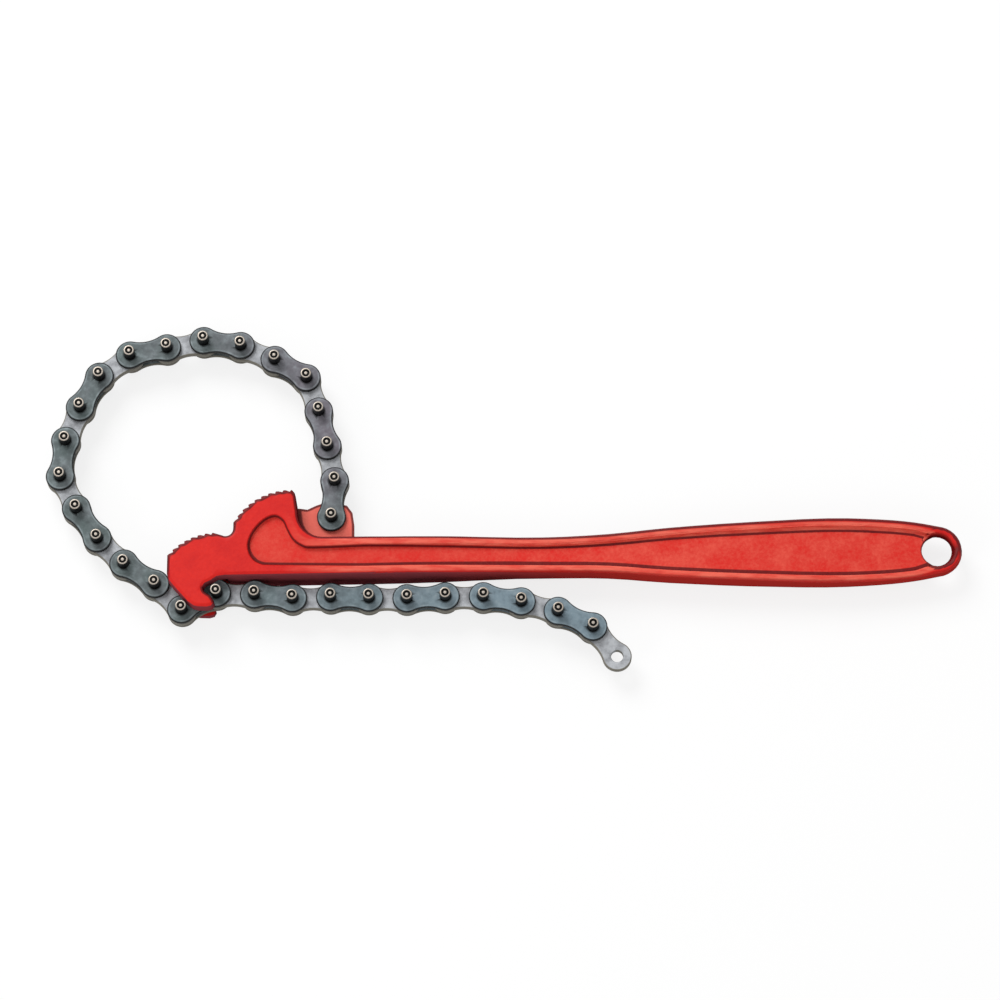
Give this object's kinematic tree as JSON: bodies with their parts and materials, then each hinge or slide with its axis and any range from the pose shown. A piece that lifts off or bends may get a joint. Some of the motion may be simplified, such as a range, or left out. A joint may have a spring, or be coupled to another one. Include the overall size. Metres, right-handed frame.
{
  "type": "chain pipe wrench",
  "caption": "Chain pipe wrench: a forged handle with a toothed, forked head, and a riveted link chain that goes round the pipe and hooks into the head.",
  "frame": {"origin": "middle of the bottom of the wrench's box, lying flat with the head and the chain's pins on the surface", "axes": "+X along the handle from the head to the hang hole, +Y from the handle's lower edge to the chain's loop, +Z along the pins"},
  "size_m": [0.3482, 0.1363, 0.017],
  "materials": {
    "red_enamel": "semi-gloss red enamel on a forging, worn bright on the teeth",
    "blued_steel": "blued steel, with bright pin ends",
    "bright_steel": "bright ground steel"
  },
  "bodies": {
    "handle": {"handle": "red_enamel"},
    "link_01": {"link_01_front_plate": "blued_steel", "link_01_rear_plate": "blued_steel"},
    "link_02": {"link_02_inner_plate": "bright_steel"},
    "link_03": {"link_03_front_plate": "blued_steel", "link_03_rear_plate": "blued_steel"},
    "link_04": {"link_04_inner_plate": "bright_steel"},
    "link_05": {"link_05_front_plate": "blued_steel", "link_05_rear_plate": "blued_steel"},
    "link_06": {"link_06_inner_plate": "bright_steel"},
    "link_07": {"link_07_front_plate": "blued_steel", "link_07_rear_plate": "blued_steel"},
    "link_08": {"link_08_inner_plate": "bright_steel"},
    "link_09": {"link_09_front_plate": "blued_steel", "link_09_rear_plate": "blued_steel"},
    "link_10": {"link_10_inner_plate": "bright_steel"},
    "link_11": {"link_11_front_plate": "blued_steel", "link_11_rear_plate": "blued_steel"},
    "link_12": {"link_12_inner_plate": "bright_steel"},
    "link_13": {"link_13_front_plate": "blued_steel", "link_13_rear_plate": "blued_steel"},
    "link_14": {"link_14_inner_plate": "bright_steel"},
    "link_15": {"link_15_front_plate": "blued_steel", "link_15_rear_plate": "blued_steel"},
    "link_16": {"link_16_inner_plate": "bright_steel"},
    "link_17": {"link_17_front_plate": "blued_steel", "link_17_rear_plate": "blued_steel"},
    "link_18": {"link_18_inner_plate": "bright_steel"},
    "link_19": {"link_19_front_plate": "blued_steel", "link_19_rear_plate": "blued_steel"},
    "link_20": {"link_20_inner_plate": "bright_steel"},
    "link_21": {"link_21_front_plate": "blued_steel", "link_21_rear_plate": "blued_steel"},
    "link_22": {"link_22_inner_plate": "bright_steel"},
    "link_23": {"link_23_front_plate": "blued_steel", "link_23_rear_plate": "blued_steel"},
    "link_24": {"link_24_inner_plate": "bright_steel"},
    "link_25": {"link_25_front_plate": "blued_steel", "link_25_rear_plate": "blued_steel"},
    "link_26": {"link_26_inner_plate": "bright_steel"},
    "link_27": {"link_27_front_plate": "blued_steel", "link_27_rear_plate": "blued_steel"},
    "link_28": {"link_28_inner_plate": "bright_steel"},
    "link_29": {"link_29_front_plate": "blued_steel", "link_29_rear_plate": "blued_steel"},
    "link_30": {"link_30_inner_plate": "bright_steel"}
  },
  "joints": [
    {"name": "pin_01_hinge", "type": "hinge", "parent": "handle", "child": "link_01", "pos_m": [-0.06505, -0.00844, 0.0085], "axis": [0, 0, 1], "range_deg": [0, 30]},
    {"name": "pin_02_hinge", "type": "hinge", "parent": "link_01", "child": "link_02", "pos_m": [-0.06404, 0.00593, 0.0085], "axis": [0, 0, -1], "range_deg": [-5.3, 5.3]},
    {"name": "pin_03_hinge", "type": "hinge", "parent": "link_02", "child": "link_03", "pos_m": [-0.06701, 0.02002, 0.0085], "axis": [0, 0, 1], "range_deg": [-5.7, 5.7]},
    {"name": "pin_04_hinge", "type": "hinge", "parent": "link_03", "child": "link_04", "pos_m": [-0.07048, 0.03399, 0.0085], "axis": [0, 0, -1], "range_deg": [-7, 7]},
    {"name": "pin_05_hinge", "type": "hinge", "parent": "link_04", "child": "link_05", "pos_m": [-0.07538, 0.04753, 0.0085], "axis": [0, 0, -1], "range_deg": [-6, 6]},
    {"name": "pin_06_hinge", "type": "hinge", "parent": "link_05", "child": "link_06", "pos_m": [-0.0877, 0.05499, 0.0085], "axis": [0, 0, -1], "range_deg": [-9.9, 9.9]},
    {"name": "pin_07_hinge", "type": "hinge", "parent": "link_06", "child": "link_07", "pos_m": [-0.10094, 0.06065, 0.0085], "axis": [0, 0, 1], "range_deg": [-10, 10]},
    {"name": "pin_08_hinge", "type": "hinge", "parent": "link_07", "child": "link_08", "pos_m": [-0.11519, 0.0627, 0.0085], "axis": [0, 0, -1], "range_deg": [-10, 10]},
    {"name": "pin_09_hinge", "type": "hinge", "parent": "link_08", "child": "link_09", "pos_m": [-0.12929, 0.05974, 0.0085], "axis": [0, 0, -1], "range_deg": [-9.9, 9.9]},
    {"name": "pin_10_hinge", "type": "hinge", "parent": "link_09", "child": "link_10", "pos_m": [-0.14338, 0.05679, 0.0085], "axis": [0, 0, -1], "range_deg": [-9.8, 9.8]},
    {"name": "pin_11_hinge", "type": "hinge", "parent": "link_10", "child": "link_11", "pos_m": [-0.1549, 0.04814, 0.0085], "axis": [0, 0, 1], "range_deg": [-9.7, 9.7]},
    {"name": "pin_12_hinge", "type": "hinge", "parent": "link_11", "child": "link_12", "pos_m": [-0.16189, 0.03555, 0.0085], "axis": [0, 0, -1], "range_deg": [-6, 6]},
    {"name": "pin_13_hinge", "type": "hinge", "parent": "link_12", "child": "link_13", "pos_m": [-0.16705, 0.02211, 0.0085], "axis": [0, 0, -1], "range_deg": [-6.4, 6.4]},
    {"name": "pin_14_hinge", "type": "hinge", "parent": "link_13", "child": "link_14", "pos_m": [-0.16855, 0.00779, 0.0085], "axis": [0, 0, -1], "range_deg": [-5.2, 5.2]},
    {"name": "pin_15_hinge", "type": "hinge", "parent": "link_14", "child": "link_15", "pos_m": [-0.16199, -0.00503, 0.0085], "axis": [0, 0, 1], "range_deg": [-5.4, 5.4]},
    {"name": "pin_16_hinge", "type": "hinge", "parent": "link_15", "child": "link_16", "pos_m": [-0.1537, -0.01681, 0.0085], "axis": [0, 0, -1], "range_deg": [-3.9, 3.9]},
    {"name": "pin_17_hinge", "type": "hinge", "parent": "link_16", "child": "link_17", "pos_m": [-0.14332, -0.02678, 0.0085], "axis": [0, 0, -1], "range_deg": [-2.9, 2.9]},
    {"name": "pin_18_hinge", "type": "hinge", "parent": "link_17", "child": "link_18", "pos_m": [-0.13136, -0.0348, 0.0085], "axis": [0, 0, -1], "range_deg": [-6.9, 6.9]},
    {"name": "pin_19_hinge", "type": "hinge", "parent": "link_18", "child": "link_19", "pos_m": [-0.12097, -0.04478, 0.0085], "axis": [0, 0, -1], "range_deg": [-5.4, 5.4]},
    {"name": "pin_20_hinge", "type": "hinge", "parent": "link_19", "child": "link_20", "pos_m": [-0.10805, -0.03844, 0.0085], "axis": [0, 0, 1], "range_deg": [-30.1, 0.1]},
    {"name": "pin_21_hinge", "type": "hinge", "parent": "link_20", "child": "link_21", "pos_m": [-0.09366, -0.03894, 0.0085], "axis": [0, 0, 1], "range_deg": [-30, 0.3]},
    {"name": "pin_22_hinge", "type": "hinge", "parent": "link_21", "child": "link_22", "pos_m": [-0.07934, -0.04044, 0.0085], "axis": [0, 0, 1], "range_deg": [-30, 0.3]},
    {"name": "pin_23_hinge", "type": "hinge", "parent": "link_22", "child": "link_23", "pos_m": [-0.06494, -0.03994, 0.0085], "axis": [0, 0, 1], "range_deg": [-30, 0.3]},
    {"name": "pin_24_hinge", "type": "hinge", "parent": "link_23", "child": "link_24", "pos_m": [-0.05055, -0.04019, 0.0085], "axis": [0, 0, 1], "range_deg": [-30, 0.4]},
    {"name": "pin_25_hinge", "type": "hinge", "parent": "link_24", "child": "link_25", "pos_m": [-0.03615, -0.04044, 0.0085], "axis": [0, 0, 1], "range_deg": [-30, 0.4]},
    {"name": "pin_26_hinge", "type": "hinge", "parent": "link_25", "child": "link_26", "pos_m": [-0.02177, -0.03969, 0.0085], "axis": [0, 0, 1], "range_deg": [-30, 0.4]},
    {"name": "pin_27_hinge", "type": "hinge", "parent": "link_26", "child": "link_27", "pos_m": [-0.00737, -0.03969, 0.0085], "axis": [0, 0, 1], "range_deg": [-30, 4]},
    {"name": "pin_28_hinge", "type": "hinge", "parent": "link_27", "child": "link_28", "pos_m": [0.00689, -0.04169, 0.0085], "axis": [0, 0, 1], "range_deg": [-30, 7]},
    {"name": "pin_29_hinge", "type": "hinge", "parent": "link_28", "child": "link_29", "pos_m": [0.0208, -0.04542, 0.0085], "axis": [0, 0, 1], "range_deg": [-30, 10]},
    {"name": "pin_30_hinge", "type": "hinge", "parent": "link_29", "child": "link_30", "pos_m": [0.03385, -0.05151, 0.0085], "axis": [0, 0, 1], "range_deg": [-30, 24]}
  ],
  "couplings": [
    {"joint": "pin_20_hinge", "follows": "pin_01_hinge", "ratio": -1},
    {"joint": "pin_06_hinge", "follows": "pin_02_hinge", "ratio": -1.862},
    {"joint": "pin_10_hinge", "follows": "pin_02_hinge", "ratio": 1.832},
    {"joint": "pin_14_hinge", "follows": "pin_02_hinge", "ratio": -0.968},
    {"joint": "pin_07_hinge", "follows": "pin_03_hinge", "ratio": -1.751},
    {"joint": "pin_11_hinge", "follows": "pin_03_hinge", "ratio": 1.692},
    {"joint": "pin_15_hinge", "follows": "pin_03_hinge", "ratio": -0.94},
    {"joint": "pin_08_hinge", "follows": "pin_04_hinge", "ratio": -1.416},
    {"joint": "pin_12_hinge", "follows": "pin_04_hinge", "ratio": 0.846},
    {"joint": "pin_16_hinge", "follows": "pin_04_hinge", "ratio": 0.544},
    {"joint": "pin_18_hinge", "follows": "pin_04_hinge", "ratio": -0.973},
    {"joint": "pin_09_hinge", "follows": "pin_05_hinge", "ratio": -1.642},
    {"joint": "pin_13_hinge", "follows": "pin_05_hinge", "ratio": 1.057},
    {"joint": "pin_17_hinge", "follows": "pin_05_hinge", "ratio": 0.471},
    {"joint": "pin_19_hinge", "follows": "pin_05_hinge", "ratio": -0.888}
  ]
}
